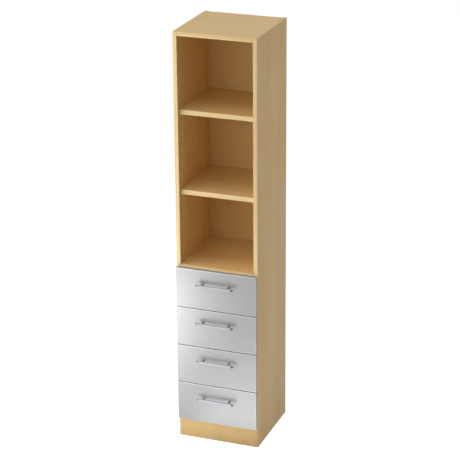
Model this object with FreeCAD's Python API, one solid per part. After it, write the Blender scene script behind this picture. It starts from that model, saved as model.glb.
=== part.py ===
import FreeCAD, Part
import os

from FreeCAD import Vector

# Office storage cabinet, in millimetres: open shelf bays above, drawers on roller runners below.
# +X is to the right, +Y to the back, +Z up. The drawer fronts face -Y.
# The origin is on the floor, in the middle of the whole footprint, handles included.

# Carcass
cabinet_width = 400.0
carcass_depth = 400.0
cabinet_height = 2004.0
board = 19.0
plinth_height = 90.0
plinth_thickness = 19.0
carcass_edge_radius = 0.8

# Back panel, held between the side panels and flush with their rear edges
back_thickness = 8.0
back_top_drop = 6.0
back_side_gap = 0.2

# Drawer fronts, which lie over the carcass edges; the top and bottom ones reach further over them
drawer_count = 4
front_height = 190.0
end_front_extra = 4.5
front_thickness = 19.0
front_gap = 4.0
front_side_reveal = 1.5
bottom_reveal = 9.5
middle_overlap = 7.5
front_rest_gap = 1.0
front_edge_radius = 1.0

# Shelf pin holes in both side panels, and the pins
pin_diameter = 5.0
pin_hole_clearance = 0.05
pin_hole_depth = 10.0
pin_in_hole = 9.0
pin_stand_out = 8.0
pin_chamfer = 0.5
pin_row_pitch = 27.4
pin_first_rise = 9.0
pin_last_drop = 40.0
pin_column_inset = 24.0

# Loose shelves
shelf_count = 2
shelf_thickness = 22.0
shelf_setback = 20.0
shelf_rear_gap = 2.0
shelf_side_gap = 1.0

# Cam fittings and dowels between the side panels and the panels they carry
fitting_edge_distance = 37.0
dowel_from_cam = 32.0
cam_diameter = 15.0
cam_above_axis = 3.0
cam_from_end = 34.0
cam_pocket_clearance = 0.05
cam_pocket_spare = 0.5
cam_slot_length = 9.0
cam_slot_width = 1.6
cam_slot_depth = 1.5
bolt_thread_diameter = 5.0
bolt_thread_length = 11.0
bolt_shank_diameter = 6.0
bolt_neck_diameter = 4.0
bolt_head_diameter = 6.4
bolt_head_length = 3.5
bolt_bore_clearance = 1.0
bolt_head_clearance = 0.3
bolt_thread_clearance = 0.05
dowel_diameter = 8.0
dowel_in_side = 12.0
dowel_in_end = 18.0
dowel_clearance = 0.05
dowel_hole_spare = 1.0
plinth_dowel_spread = 45.0

# Countersunk screws of the back panel
back_screw_diameter = 3.5
back_screw_head_diameter = 7.0
back_screw_head_depth = 2.0
back_screw_length = 28.0
back_screw_inset = 31.0
back_screw_clearance = 0.1

# Drawer box
drawer_side_thickness = 12.0
drawer_back_thickness = 12.0
drawer_rear_space = 43.0
drawer_top_drop = 22.0
drawer_bottom_thickness = 5.0
drawer_bottom_rise = 8.0
drawer_groove_depth = 5.0
drawer_groove_clearance = 0.15
drawer_edge_radius = 1.0

# Roller runners: heights are measured from the underside of the cabinet rail
runner_space = 12.7
runner_rise = 22.0
rail_gauge = 1.2
rail_front_setback = 2.0
rail_rear_overrun = 3.0
rail_slide_gap = 1.0
drawer_seat_height = 6.0
roller_diameter = 20.0
roller_gap = 0.3
roller_side_play = 0.1
roller_chamfer = 0.6
roller_stop_gap = 1.0
front_roller_setback = 30.0
rear_roller_from_end = 10.0
ceiling_cutaway = 44.0
axle_diameter = 4.0
axle_clearance = 0.05
axle_shoulder_length = 2.3
axle_shoulder_diameter = 7.0
axle_head_diameter = 7.0
axle_head_thickness = 0.7

# Screws of the cabinet rails, and of the drawer rails
rail_screws_per_rail = 3
rail_screw_front_inset = 60.0
rail_screw_rear_inset = 32.0
rail_screw_diameter = 4.0
rail_screw_length = 15.0
rail_screw_head_diameter = 7.0
rail_screw_head_height = 1.0
drawer_rail_screw_length = 16.0
drawer_rail_screw_inset = 4.0
drawer_rail_screw_head_height = 1.8
screw_clearance = 0.05

# Cross for the driver in every screw's head
driver_cross_length = 3.6
driver_cross_width = 0.8
driver_cross_depth = 0.7

# Handles
handle_hole_spacing = 128.0
handle_overhang = 30.0
handle_bar_diameter = 12.0
handle_end_slant = 12.0
handle_standoff = 25.0
handle_rise = 126.0
handle_post_diameter = 10.0
handle_seat_clearance = 0.02
handle_screw_diameter = 4.0
handle_screw_engagement = 9.0
handle_screw_head_diameter = 8.0
handle_screw_head_height = 2.6
handle_screw_clearance = 0.25

# Places worked out from the sizes above
handle_projection = handle_standoff + handle_bar_diameter / 2
overall_depth = handle_projection + front_thickness + front_rest_gap + carcass_depth
carcass_front = overall_depth / 2 - carcass_depth
carcass_rear = overall_depth / 2
front_inner_face = carcass_front - front_rest_gap
front_face = front_inner_face - front_thickness
handle_axis_y = front_face - handle_standoff

half_width = cabinet_width / 2
inner_half = half_width - board
panel_rear = carcass_rear - back_thickness
front_half = half_width - front_side_reveal

fronts_total = drawer_count * front_height + (drawer_count - 1) * front_gap + 2 * end_front_extra
bottom_underside = plinth_height
middle_underside = plinth_height + bottom_reveal + fronts_total - middle_overlap
middle_top = middle_underside + board
top_underside = cabinet_height - board
back_top = cabinet_height - back_top_drop

pin_first_z = middle_top + pin_first_rise
pin_rows = int((top_underside - pin_last_drop - pin_first_z) / pin_row_pitch) + 1
pin_columns = (carcass_front + pin_column_inset, panel_rear - pin_column_inset)

cam_rows = (carcass_front + fitting_edge_distance, panel_rear - fitting_edge_distance)
dowel_rows = (cam_rows[0] + dowel_from_cam, cam_rows[1] - dowel_from_cam)

drawer_rear = panel_rear - drawer_rear_space
drawer_outer_half = inner_half - runner_space
drawer_inner_half = drawer_outer_half - drawer_side_thickness
rail_front = carcass_front + rail_front_setback
cabinet_rail_rear = drawer_rear + rail_rear_overrun
flange_depth = runner_space - rail_gauge - rail_slide_gap
channel_height = roller_diameter + 2 * roller_gap
cabinet_rail_height = channel_height + 2 * rail_gauge
roller_flange_height = cabinet_rail_height + rail_slide_gap
roller_radius = roller_diameter / 2
front_roller_y = carcass_front + front_roller_setback
front_roller_height = roller_flange_height - roller_gap - roller_radius
rear_roller_y = drawer_rear - rear_roller_from_end
rear_roller_height = rail_gauge + roller_gap + roller_radius
drawer_travel = rear_roller_y - front_roller_y - roller_diameter - roller_stop_gap

ALONG_X = Vector(1, 0, 0)
ALONG_Y = Vector(0, 1, 0)
ALONG_Z = Vector(0, 0, 1)
ORIGIN = Vector(0, 0, 0)
SAME_PLACE = 0.001


def box(x, y, z):
    """Box between a low and a high limit on each axis."""
    return Part.makeBox(x[1] - x[0], y[1] - y[0], z[1] - z[0], Vector(x[0], y[0], z[0]))


def rod(start, end, diameter):
    """Round rod from one point to another."""
    run = end - start
    return Part.makeCylinder(diameter / 2, run.Length, start, run)


def cone(start, end, start_diameter, end_diameter):
    """Cone frustum from one point to another."""
    run = end - start
    return Part.makeCone(start_diameter / 2, end_diameter / 2, run.Length, start, run)


def mirrored(shape):
    """The same shape on the cabinet's other side."""
    return shape.mirror(ORIGIN, ALONG_X)


def on_both_sides(shapes):
    """A list of right-hand shapes with their left-hand twins."""
    return shapes + [mirrored(shape) for shape in shapes]


def fused(shapes):
    """One solid from shapes that touch or overlap."""
    return shapes[0].fuse(shapes[1:]).removeSplitter()


def cut(shape, tools):
    """The shape with a list of tools taken out of it."""
    return shape.cut(Part.makeCompound(tools)) if tools else shape


def rounded(shape, radius, wanted):
    """The shape with those edges rounded whose centre passes the test."""
    edges = [edge for edge in shape.Edges if wanted(edge.CenterOfMass)]
    return shape.makeFillet(radius, edges)


def chamfered_rod(start, end, diameter, chamfer):
    """Round rod with both of its rims chamfered."""
    shape = rod(start, end, diameter)
    rims = [edge for edge in shape.Edges if isinstance(edge.Curve, Part.Circle)]
    return shape.makeChamfer(chamfer, rims)


def save(name, shapes):
    """Write one node, a single solid or a group of separate solids."""
    solids = [solid for shape in shapes for solid in shape.Solids]
    node = solids[0] if len(solids) == 1 else Part.makeCompound(solids)
    if not node.isValid():
        raise ValueError(name + " isn't a valid shape")
    node.exportStep("parts/" + name + ".step")


def is_at(value, place):
    return abs(value - place) < SAME_PLACE


def front_edge_lines(centre):
    """True for the long front edges of a panel that runs from side to side."""
    return is_at(centre.y, carcass_front) and is_at(centre.x, 0.0)


def front_edge_all(centre):
    """True for all edges of a face in the carcass's front plane."""
    return is_at(centre.y, carcass_front)


# Cam fittings and dowels, on the right-hand side


def cam_bolt(y, z):
    """Bolt screwed into the side panel, its head in the cam housing."""
    cam_x = inner_half - cam_from_end
    cam_rim = cam_x + cam_diameter / 2
    head_end = cam_x - bolt_head_length / 2
    head_start = cam_x + bolt_head_length / 2
    thread_end = Vector(inner_half + bolt_thread_length, y, z)
    thread = rod(Vector(inner_half, y, z), thread_end, bolt_thread_diameter)
    shank = rod(Vector(cam_rim, y, z), Vector(inner_half, y, z), bolt_shank_diameter)
    neck = rod(Vector(head_start, y, z), Vector(cam_rim, y, z), bolt_neck_diameter)
    head = rod(Vector(head_end, y, z), Vector(head_start, y, z), bolt_head_diameter)
    return fused([thread, shank, neck, head])


def cam_bolt_bore(y, z):
    """Bore in a panel's end, from the side panel to the cam's pocket."""
    start = Vector(inner_half - cam_from_end, y, z)
    return rod(start, Vector(inner_half, y, z), bolt_shank_diameter + 2 * bolt_bore_clearance)


def cam_bolt_hole(y, z):
    """Threaded hole in the side panel."""
    end = Vector(inner_half + bolt_thread_length + dowel_hole_spare, y, z)
    return rod(Vector(inner_half, y, z), end, bolt_thread_diameter + 2 * bolt_thread_clearance)


def cam_housing(y, underside):
    """Cam pressed into the underside, with a cross slot below and a way in for the bolt's head."""
    x = inner_half - cam_from_end
    axis_z = underside + board / 2
    top = axis_z + cam_above_axis
    body = rod(Vector(x, y, underside), Vector(x, y, top), cam_diameter)
    way_start = Vector(x - bolt_head_length / 2 - bolt_head_clearance, y, axis_z)
    way = rod(way_start, Vector(x + cam_diameter, y, axis_z), bolt_head_diameter + 2 * bolt_head_clearance)
    half_long = cam_slot_length / 2
    half_wide = cam_slot_width / 2
    slot_z = (underside, underside + cam_slot_depth)
    slot = box((x - half_long, x + half_long), (y - half_wide, y + half_wide), slot_z)
    cross = box((x - half_wide, x + half_wide), (y - half_long, y + half_long), slot_z)
    return cut(body, [way, slot, cross])


def cam_pocket(y, underside):
    """Round pocket for the cam in a panel's underside."""
    x = inner_half - cam_from_end
    top = underside + board / 2 + cam_above_axis + cam_pocket_spare
    return rod(Vector(x, y, underside), Vector(x, y, top), cam_diameter + 2 * cam_pocket_clearance)


def dowel(y, z, spare=0.0, clearance=0.0):
    """Dowel across the joint of a side panel, or its hole when given spare length and clearance."""
    start = Vector(inner_half - dowel_in_end - spare, y, z)
    end = Vector(inner_half + dowel_in_side + spare, y, z)
    return rod(start, end, dowel_diameter + 2 * clearance)


def dowel_places():
    """Every dowel's y and z: two for each panel and two at the plinth's end."""
    places = [(y, underside + board / 2) for underside in panel_undersides() for y in dowel_rows]
    plinth_y = carcass_front + plinth_thickness / 2
    for offset in (-plinth_dowel_spread / 2, plinth_dowel_spread / 2):
        places.append((plinth_y, plinth_height / 2 + offset))
    return places


def dowel_holes():
    return [dowel(y, z, dowel_hole_spare, dowel_clearance) for y, z in dowel_places()]


def panel_undersides():
    return (bottom_underside, middle_underside, top_underside)


# Screws; those that take a clearance give the screw, or its hole when the clearance isn't zero


def crossed(screw, mouth, inward):
    """The screw with a cross cut into its head from the middle of the outer face."""
    half_long = driver_cross_length / 2
    half_wide = driver_cross_width / 2
    depth = (0.0, driver_cross_depth)
    slot = box((-half_long, half_long), (-half_wide, half_wide), depth)
    cross = slot.fuse(box((-half_wide, half_wide), (-half_long, half_long), depth))
    cross.Placement = FreeCAD.Placement(mouth, FreeCAD.Rotation(ALONG_Z, inward))
    return screw.cut(cross)


def back_screw(x, z, clearance=0.0):
    """Countersunk screw from the back panel's rear face into a panel's rear edge."""
    face = carcass_rear
    neck = face - back_screw_head_depth
    head_wide = back_screw_head_diameter + 2 * clearance
    shank_wide = back_screw_diameter + 2 * clearance
    head = cone(Vector(x, face, z), Vector(x, neck, z), head_wide, shank_wide)
    shank = rod(Vector(x, neck, z), Vector(x, face - back_screw_length, z), shank_wide)
    screw = fused([head, shank])
    return screw if clearance else crossed(screw, Vector(x, face, z), -ALONG_Y)


def back_screw_places():
    """Every back screw's x and z."""
    side = inner_half - back_screw_inset
    heights = [bottom_underside + board / 2, middle_underside + board / 2, (top_underside + back_top) / 2]
    return [(x, z) for z in heights for x in (-side, 0.0, side)]


def back_screw_holes():
    return [back_screw(x, z, back_screw_clearance) for x, z in back_screw_places()]


def rail_screw_rows():
    """The y places of the screws along one cabinet rail."""
    first = rail_front + rail_screw_front_inset
    last = cabinet_rail_rear - rail_screw_rear_inset
    step = (last - first) / (rail_screws_per_rail - 1)
    return [first + step * index for index in range(rail_screws_per_rail)]


def rail_screw(y, z, clearance=0.0):
    """Screw through the cabinet rail into the side panel."""
    web = inner_half - rail_gauge
    tip = web + rail_screw_length
    shank = rod(Vector(web, y, z), Vector(tip, y, z), rail_screw_diameter + 2 * clearance)
    head_end = Vector(web - rail_screw_head_height, y, z)
    head = rod(head_end, Vector(web, y, z), rail_screw_head_diameter)
    screw = fused([head, shank])
    return screw if clearance else crossed(screw, head_end, ALONG_X)


def rail_screw_heights(number):
    """Height of the screws of one drawer's cabinet rails."""
    return runner_underside(number) + cabinet_rail_height / 2


# Heights of each drawer; drawer 1 is the top one


def drawer_numbers():
    return range(1, drawer_count + 1)


def own_front_height(number):
    return front_height + (end_front_extra if number in (1, drawer_count) else 0.0)


def front_underside(number):
    below = range(number + 1, drawer_count + 1)
    return plinth_height + bottom_reveal + sum(own_front_height(other) + front_gap for other in below)


def runner_underside(number):
    return front_underside(number) + runner_rise


def drawer_box_underside(number):
    return runner_underside(number) + drawer_seat_height


def drawer_box_top(number):
    return front_underside(number) + front_height - drawer_top_drop


# Carcass


def pin_row_z(row):
    return pin_first_z + row * pin_row_pitch


def shelf_row(index):
    """The pin row that comes nearest to an even division of the open bays."""
    share = (top_underside - middle_top) * (index + 1) / (shelf_count + 1)
    underside = share - shelf_thickness / 2
    return round((underside - pin_diameter / 2 - pin_first_rise) / pin_row_pitch)


def pin_holes():
    """Shelf pin holes of the right side panel."""
    wide = pin_diameter + 2 * pin_hole_clearance
    holes = []
    for row in range(pin_rows):
        for y in pin_columns:
            mouth = Vector(inner_half, y, pin_row_z(row))
            holes.append(rod(mouth, mouth + ALONG_X * pin_hole_depth, wide))
    return holes


def side_panel():
    """Right side panel, with every hole in its inner face."""
    panel = box((inner_half, half_width), (carcass_front, carcass_rear), (0.0, cabinet_height))
    panel = rounded(panel, carcass_edge_radius, front_edge_all)
    holes = pin_holes() + dowel_holes()
    for underside in panel_undersides():
        holes += [cam_bolt_hole(y, underside + board / 2) for y in cam_rows]
    for number in drawer_numbers():
        holes += [rail_screw(y, rail_screw_heights(number), screw_clearance) for y in rail_screw_rows()]
    return cut(panel, holes)


def cross_panel(underside):
    """Panel between the side panels, with its cam pockets, bores, dowel holes and screw holes."""
    panel = box((-inner_half, inner_half), (carcass_front, panel_rear), (underside, underside + board))
    panel = rounded(panel, carcass_edge_radius, front_edge_lines)
    right = [dowel(y, underside + board / 2, dowel_hole_spare, dowel_clearance) for y in dowel_rows]
    for y in cam_rows:
        right += [cam_pocket(y, underside), cam_bolt_bore(y, underside + board / 2)]
    return cut(panel, on_both_sides(right) + back_screw_holes())


def plinth():
    """Board across the foot, with a dowel hole at each end of it."""
    depth = (carcass_front, carcass_front + plinth_thickness)
    panel = box((-inner_half, inner_half), depth, (0.0, plinth_height))
    panel = rounded(panel, carcass_edge_radius, front_edge_lines)
    return cut(panel, on_both_sides(dowel_holes()))


def back_panel():
    half = inner_half - back_side_gap
    panel = box((-half, half), (panel_rear, carcass_rear), (plinth_height, back_top))
    return cut(panel, back_screw_holes())


def shelf_underside(index):
    return pin_row_z(shelf_row(index)) + pin_diameter / 2


def shelf(index):
    half = inner_half - shelf_side_gap
    front = carcass_front + shelf_setback
    z = (shelf_underside(index), shelf_underside(index) + shelf_thickness)
    panel = box((-half, half), (front, panel_rear - shelf_rear_gap), z)
    return rounded(panel, carcass_edge_radius, lambda c: is_at(c.y, front) and is_at(c.x, 0.0))


def shelf_pins():
    """Four pins under each shelf."""
    pins = []
    for index in range(shelf_count):
        for y in pin_columns:
            face = Vector(inner_half, y, pin_row_z(shelf_row(index)))
            inner_end = face - ALONG_X * pin_stand_out
            pins.append(chamfered_rod(inner_end, face + ALONG_X * pin_in_hole, pin_diameter, pin_chamfer))
    return on_both_sides(pins)


def save_carcass():
    side = side_panel()
    save("right_side_panel", [side])
    save("left_side_panel", [mirrored(side)])
    save("bottom_panel", [cross_panel(bottom_underside)])
    save("middle_panel", [cross_panel(middle_underside)])
    save("top_panel", [cross_panel(top_underside)])
    save("plinth_board", [plinth()])
    save("back_panel", [back_panel()])
    save("lower_shelf", [shelf(0)])
    save("upper_shelf", [shelf(1)])
    save("shelf_pins", shelf_pins())
    places = [(y, underside) for underside in panel_undersides() for y in cam_rows]
    save("cam_bolts", on_both_sides([cam_bolt(y, underside + board / 2) for y, underside in places]))
    save("cam_housings", on_both_sides([cam_housing(y, underside) for y, underside in places]))
    save("dowels", on_both_sides([dowel(y, z) for y, z in dowel_places()]))
    save("back_panel_screws", [back_screw(x, z) for x, z in back_screw_places()])


# Roller runners, on the right-hand side; u is the distance from the side panel's inner face


def at_u(u):
    return inner_half - u


def profile_box(u, y, w, base):
    """Box of a rail: u from the side panel, y along the rail, w above the runner's underside."""
    return box((at_u(u[1]), at_u(u[0])), y, (base + w[0], base + w[1]))


def roller_span():
    """The rollers' outer and inner faces, as distances from the side panel."""
    return (rail_gauge + axle_shoulder_length + roller_side_play, flange_depth - roller_side_play)


def roller(y, z):
    """One roller with its bore."""
    outer, inner = roller_span()
    start = Vector(at_u(inner), y, z)
    end = Vector(at_u(outer), y, z)
    disc = chamfered_rod(start, end, roller_diameter, roller_chamfer)
    return cut(disc, [rod(start, end, axle_diameter + 2 * axle_clearance)])


def stub_axle(root_u, direction, y, z):
    """Riveted axle: a shoulder on the rail, the journal, and a head that keeps the roller on."""
    outer, inner = roller_span()
    near, far = (outer, inner) if direction > 0 else (inner, outer)
    shoulder_u = near - direction * roller_side_play
    head_u = far + direction * roller_side_play
    tip_u = head_u + direction * axle_head_thickness
    shoulder = rod(Vector(at_u(root_u), y, z), Vector(at_u(shoulder_u), y, z), axle_shoulder_diameter)
    journal = rod(Vector(at_u(root_u), y, z), Vector(at_u(head_u), y, z), axle_diameter)
    head = rod(Vector(at_u(head_u), y, z), Vector(at_u(tip_u), y, z), axle_head_diameter)
    return [shoulder, journal, head]


def cabinet_rail(number):
    """Channel on the side panel: web, floor, and a ceiling cut away over the front roller."""
    base = runner_underside(number)
    length = (rail_front, cabinet_rail_rear)
    height = cabinet_rail_height
    web = profile_box((0.0, rail_gauge), length, (0.0, height), base)
    floor = profile_box((0.0, flange_depth), length, (0.0, rail_gauge), base)
    ceiling_length = (carcass_front + ceiling_cutaway, cabinet_rail_rear)
    ceiling = profile_box((0.0, flange_depth), ceiling_length, (height - rail_gauge, height), base)
    axle = stub_axle(rail_gauge, 1, front_roller_y, base + front_roller_height)
    rail = fused([web, floor, ceiling] + axle)
    return cut(rail, [rail_screw(y, rail_screw_heights(number), screw_clearance) for y in rail_screw_rows()])


def drawer_rail(number):
    """Angle under the drawer side: a leg, an upright, and the flange that runs on the front roller."""
    base = runner_underside(number)
    length = (rail_front, drawer_rear)
    upright_u = (runner_space - rail_gauge, runner_space)
    leg_u = (upright_u[0], runner_space + drawer_side_thickness)
    flange_u = (rail_gauge + rail_slide_gap, runner_space)
    leg_w = (drawer_seat_height - rail_gauge, drawer_seat_height)
    flange_w = (roller_flange_height, roller_flange_height + rail_gauge)
    leg = profile_box(leg_u, length, leg_w, base)
    upright = profile_box(upright_u, length, (leg_w[0], flange_w[1]), base)
    flange = profile_box(flange_u, length, flange_w, base)
    axle = stub_axle(upright_u[0], -1, rear_roller_y, base + rear_roller_height)
    rail = fused([leg, upright, flange] + axle)
    return cut(rail, [drawer_rail_screw(y, number, screw_clearance) for y in drawer_rail_screw_rows()])


def drawer_rail_screw_rows():
    rows = rail_screw_rows()
    return (rows[0], rows[-1] - rail_rear_overrun)


def drawer_rail_screw(y, number, clearance=0.0):
    """Screw up through the drawer rail's leg into the drawer side."""
    x = drawer_outer_half - drawer_rail_screw_inset
    leg_underside = drawer_box_underside(number) - rail_gauge
    tip = leg_underside + drawer_rail_screw_length
    head_end = Vector(x, y, leg_underside - drawer_rail_screw_head_height)
    wide = rail_screw_diameter + 2 * clearance
    shank = rod(Vector(x, y, leg_underside), Vector(x, y, tip), wide)
    head = rod(head_end, Vector(x, y, leg_underside), rail_screw_head_diameter)
    screw = fused([head, shank])
    return screw if clearance else crossed(screw, head_end, ALONG_Z)


def save_cabinet_rails():
    rails = []
    screws = []
    for number in drawer_numbers():
        rails.append(cabinet_rail(number))
        screws += [rail_screw(y, rail_screw_heights(number)) for y in rail_screw_rows()]
    save("cabinet_rails", on_both_sides(rails))
    save("cabinet_rail_screws", on_both_sides(screws))


# Drawers


def handle_height(number):
    return front_underside(number) + handle_rise


def handle_post_places():
    return (-handle_hole_spacing / 2, handle_hole_spacing / 2)


def drawer_bottom_z(number, clearance=0.0):
    low = drawer_box_underside(number) + drawer_bottom_rise
    return (low - clearance, low + drawer_bottom_thickness + clearance)


def drawer_front(number):
    """Front board, rounded all round, with the bottom's groove and the handle's screw holes."""
    low = front_underside(number)
    high = low + own_front_height(number)
    panel = box((-front_half, front_half), (front_face, front_inner_face), (low, high))
    panel = panel.makeFillet(front_edge_radius, [e for e in panel.Edges if is_across(e)])
    half = drawer_inner_half + drawer_groove_depth
    depth = (front_inner_face - drawer_groove_depth, front_inner_face)
    groove = box((-half, half), depth, drawer_bottom_z(number, drawer_groove_clearance))
    wide = handle_screw_diameter + 2 * handle_screw_clearance
    z = handle_height(number)
    through = ALONG_Y * front_thickness
    mouths = [Vector(x, front_face, z) for x in handle_post_places()]
    return cut(panel, [groove] + [rod(mouth, mouth + through, wide) for mouth in mouths])


def is_across(edge):
    """True for a box edge that doesn't run from front to back."""
    first, last = [vertex.Point for vertex in edge.Vertexes]
    return is_at(first.y, last.y)


def drawer_side(number):
    """Right side of the drawer box, grooved for the bottom and drilled for the rail's screws."""
    low = drawer_box_underside(number)
    high = drawer_box_top(number)
    panel = box((drawer_inner_half, drawer_outer_half), (front_inner_face, drawer_rear), (low, high))
    panel = rounded(panel, drawer_edge_radius, lambda c: is_at(c.z, high) and is_side_line(c))
    groove_x = (drawer_inner_half, drawer_inner_half + drawer_groove_depth)
    groove_z = drawer_bottom_z(number, drawer_groove_clearance)
    groove = box(groove_x, (front_inner_face, drawer_rear), groove_z)
    screws = [drawer_rail_screw(y, number, screw_clearance) for y in drawer_rail_screw_rows()]
    return cut(panel, [groove] + screws)


def is_side_line(centre):
    """True for the middle of an edge that runs the whole length of a drawer side."""
    return is_at(centre.y, (front_inner_face + drawer_rear) / 2)


def drawer_back(number):
    """Back of the drawer box, standing on its bottom."""
    depth = (drawer_rear - drawer_back_thickness, drawer_rear)
    z = (drawer_bottom_z(number)[1], drawer_box_top(number))
    return box((-drawer_inner_half, drawer_inner_half), depth, z)


def drawer_bottom(number):
    """Bottom board, in the grooves of the front and sides, and under the back."""
    half = drawer_inner_half + drawer_groove_depth - drawer_groove_clearance
    front = front_inner_face - drawer_groove_depth + drawer_groove_clearance
    return box((-half, half), (front, drawer_rear), drawer_bottom_z(number))


def handle_bar(number):
    """Round bar with slanted ends, its long side towards the drawer front."""
    z = handle_height(number)
    radius = handle_bar_diameter / 2
    half = handle_hole_spacing / 2 + handle_overhang
    bar = rod(Vector(-half, handle_axis_y, z), Vector(half, handle_axis_y, z), handle_bar_diameter)
    inner = handle_axis_y + radius
    outer = handle_axis_y - radius
    corners = [Vector(half, inner, z - radius), Vector(half - handle_end_slant, outer, z - radius),
               Vector(half + radius, outer, z - radius), Vector(half + radius, inner, z - radius)]
    wedge = Part.Face(Part.makePolygon(corners + corners[:1])).extrude(ALONG_Z * handle_bar_diameter)
    return cut(bar, [wedge, mirrored(wedge)])


def handle_posts(number):
    """Two posts from the drawer front to the bar, hollowed to the bar and drilled for the screws."""
    z = handle_height(number)
    half = handle_hole_spacing / 2 + handle_overhang
    wide = handle_bar_diameter + 2 * handle_seat_clearance
    seat = rod(Vector(-half, handle_axis_y, z), Vector(half, handle_axis_y, z), wide)
    thread = handle_screw_diameter + 2 * screw_clearance
    posts = []
    for x in handle_post_places():
        foot = Vector(x, front_face, z)
        post = rod(foot, Vector(x, handle_axis_y, z), handle_post_diameter)
        hole = rod(foot, foot - ALONG_Y * (handle_screw_engagement + dowel_hole_spare), thread)
        posts.append(cut(post, [seat, hole]))
    return posts


def handle_screws(number):
    """Two screws from inside the drawer, through its front, into the posts."""
    z = handle_height(number)
    screws = []
    for x in handle_post_places():
        seat = Vector(x, front_inner_face, z)
        tip = Vector(x, front_face - handle_screw_engagement, z)
        shank = rod(seat, tip, handle_screw_diameter)
        head_end = seat + ALONG_Y * handle_screw_head_height
        head = rod(seat, head_end, handle_screw_head_diameter)
        screws.append(crossed(fused([head, shank]), head_end, -ALONG_Y))
    return screws


def save_drawer(number):
    name = "drawer_" + str(number)
    side = drawer_side(number)
    save(name + "_front", [drawer_front(number)])
    save(name + "_right_side", [side])
    save(name + "_left_side", [mirrored(side)])
    save(name + "_back", [drawer_back(number)])
    save(name + "_bottom", [drawer_bottom(number)])
    save(name + "_handle_bar", [handle_bar(number)])
    save(name + "_handle_posts", handle_posts(number))
    rail_screws = [drawer_rail_screw(y, number) for y in drawer_rail_screw_rows()]
    save(name + "_screws", handle_screws(number) + on_both_sides(rail_screws))
    save(name + "_drawer_rails", on_both_sides([drawer_rail(number)]))
    base = runner_underside(number)
    save(name + "_front_rollers", on_both_sides([roller(front_roller_y, base + front_roller_height)]))
    save(name + "_rear_rollers", on_both_sides([roller(rear_roller_y, base + rear_roller_height)]))


os.makedirs("parts", exist_ok=True)
save_carcass()
save_cabinet_rails()
for drawer_number in drawer_numbers():
    save_drawer(drawer_number)
print("overall", cabinet_width, overall_depth, cabinet_height)
print("drawer travel", drawer_travel, "pin rows", pin_rows)
print("shelf rows", [shelf_row(index) for index in range(shelf_count)])
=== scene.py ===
import math

import bmesh
import bpy
from bpy.props import FloatProperty, FloatVectorProperty, PointerProperty
from mathutils import Matrix, Quaternion, Vector


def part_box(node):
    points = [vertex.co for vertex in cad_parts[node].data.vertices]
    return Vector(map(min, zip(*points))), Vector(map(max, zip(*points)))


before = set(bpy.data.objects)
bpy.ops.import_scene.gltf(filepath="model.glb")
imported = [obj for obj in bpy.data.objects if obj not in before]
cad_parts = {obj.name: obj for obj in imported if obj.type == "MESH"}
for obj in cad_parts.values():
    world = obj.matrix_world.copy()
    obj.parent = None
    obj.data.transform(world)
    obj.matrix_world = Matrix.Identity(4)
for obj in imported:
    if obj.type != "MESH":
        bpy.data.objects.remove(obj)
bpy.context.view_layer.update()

bl_info = {
    "name": "Office storage cabinet",
    "version": (1, 0, 0),
    "blender": (4, 5, 0),
    "location": "View3D > Sidebar > Cabinet",
    "description": "Finishes, stage and camera for a cabinet with open bays and four drawers",
    "category": "Object",
}

# Metres, in the part's own frame: +X to the right, +Y to the back, +Z up.
X, Y, Z = 0, 1, 2
LOW, HIGH = 0, 1
DRAWERS = (1, 2, 3, 4)

# How far a face turns towards an axis before it counts as facing that way.
FACING = 0.5

# Roughness of the maple print, and strength of the light that it mirrors.
MAPLE_ROUGHNESS = 0.46
MAPLE_SPECULAR = 0.15

# Strength of the print on the back board and on the drawer boxes, and roughness of the boxes' foil.
BACK_PRINT = 0.55
BOX_PRINT = 0.7
BOX_ROUGHNESS = 0.5

# The camera's sensor in millimetres, and how far the floor lies below the feet in metres.
SENSOR_WIDTH = 36.0
FLOOR_DROP = 0.0002

# Each lamp's place, the point it faces, its width and height, and its lean to the right in degrees.
LAMPS = {
    "left": ((-2.20, -0.80, 1.90), (0.0, -0.2, 1.2), (1.2, 1.6), 0.0),
    "side": ((-1.40, -1.40, 1.50), (0.0, -0.2, 1.2), (1.2, 2.0), 0.0),
    "front": ((-0.50, -2.40, 2.20), (0.0, -0.2, 1.2), (1.2, 1.2), 0.0),
    "right": ((2.40, 0.30, 1.60), (0.2, 0.1, 1.0), (1.2, 2.0), 0.0),
    "top": ((0.0, -0.2, 4.2), (0.0, 0.0, 2.0), (2.4, 2.4), 0.0),
    "low": ((-0.60, -0.90, 0.31), (-0.60, 0.0, 0.31), (0.22, 0.6), 10.0),
    "foot": ((0.12, -0.60, 0.012), (0.12, -0.60, 1.0), (0.6, 0.54), 0.0),
    "strip": ((-0.1, -1.2, 0.012), (-0.1, -1.2, 1.0), (0.4, 0.7), 0.0),
    "far": ((-0.95, -3.1, 0.012), (-0.95, -3.1, 1.0), (0.6, 1.2), 0.0),
}


def screen(red, green, blue):
    """A colour as the screen's numbers from 0 to 255, made linear."""
    parts = [value / 255 for value in (red, green, blue)]
    return tuple(v / 12.92 if v <= 0.04045 else ((v + 0.055) / 1.055) ** 2.4 for v in parts)


def colour_property(name, description, default):
    return FloatVectorProperty(name=name, description=description, default=default,
                               subtype="COLOR", size=3, min=0.0, max=1.0)


def length_property(name, description, default):
    return FloatProperty(name=name, description=description, default=default, min=0.0,
                         subtype="DISTANCE", unit="LENGTH", precision=5)


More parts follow.
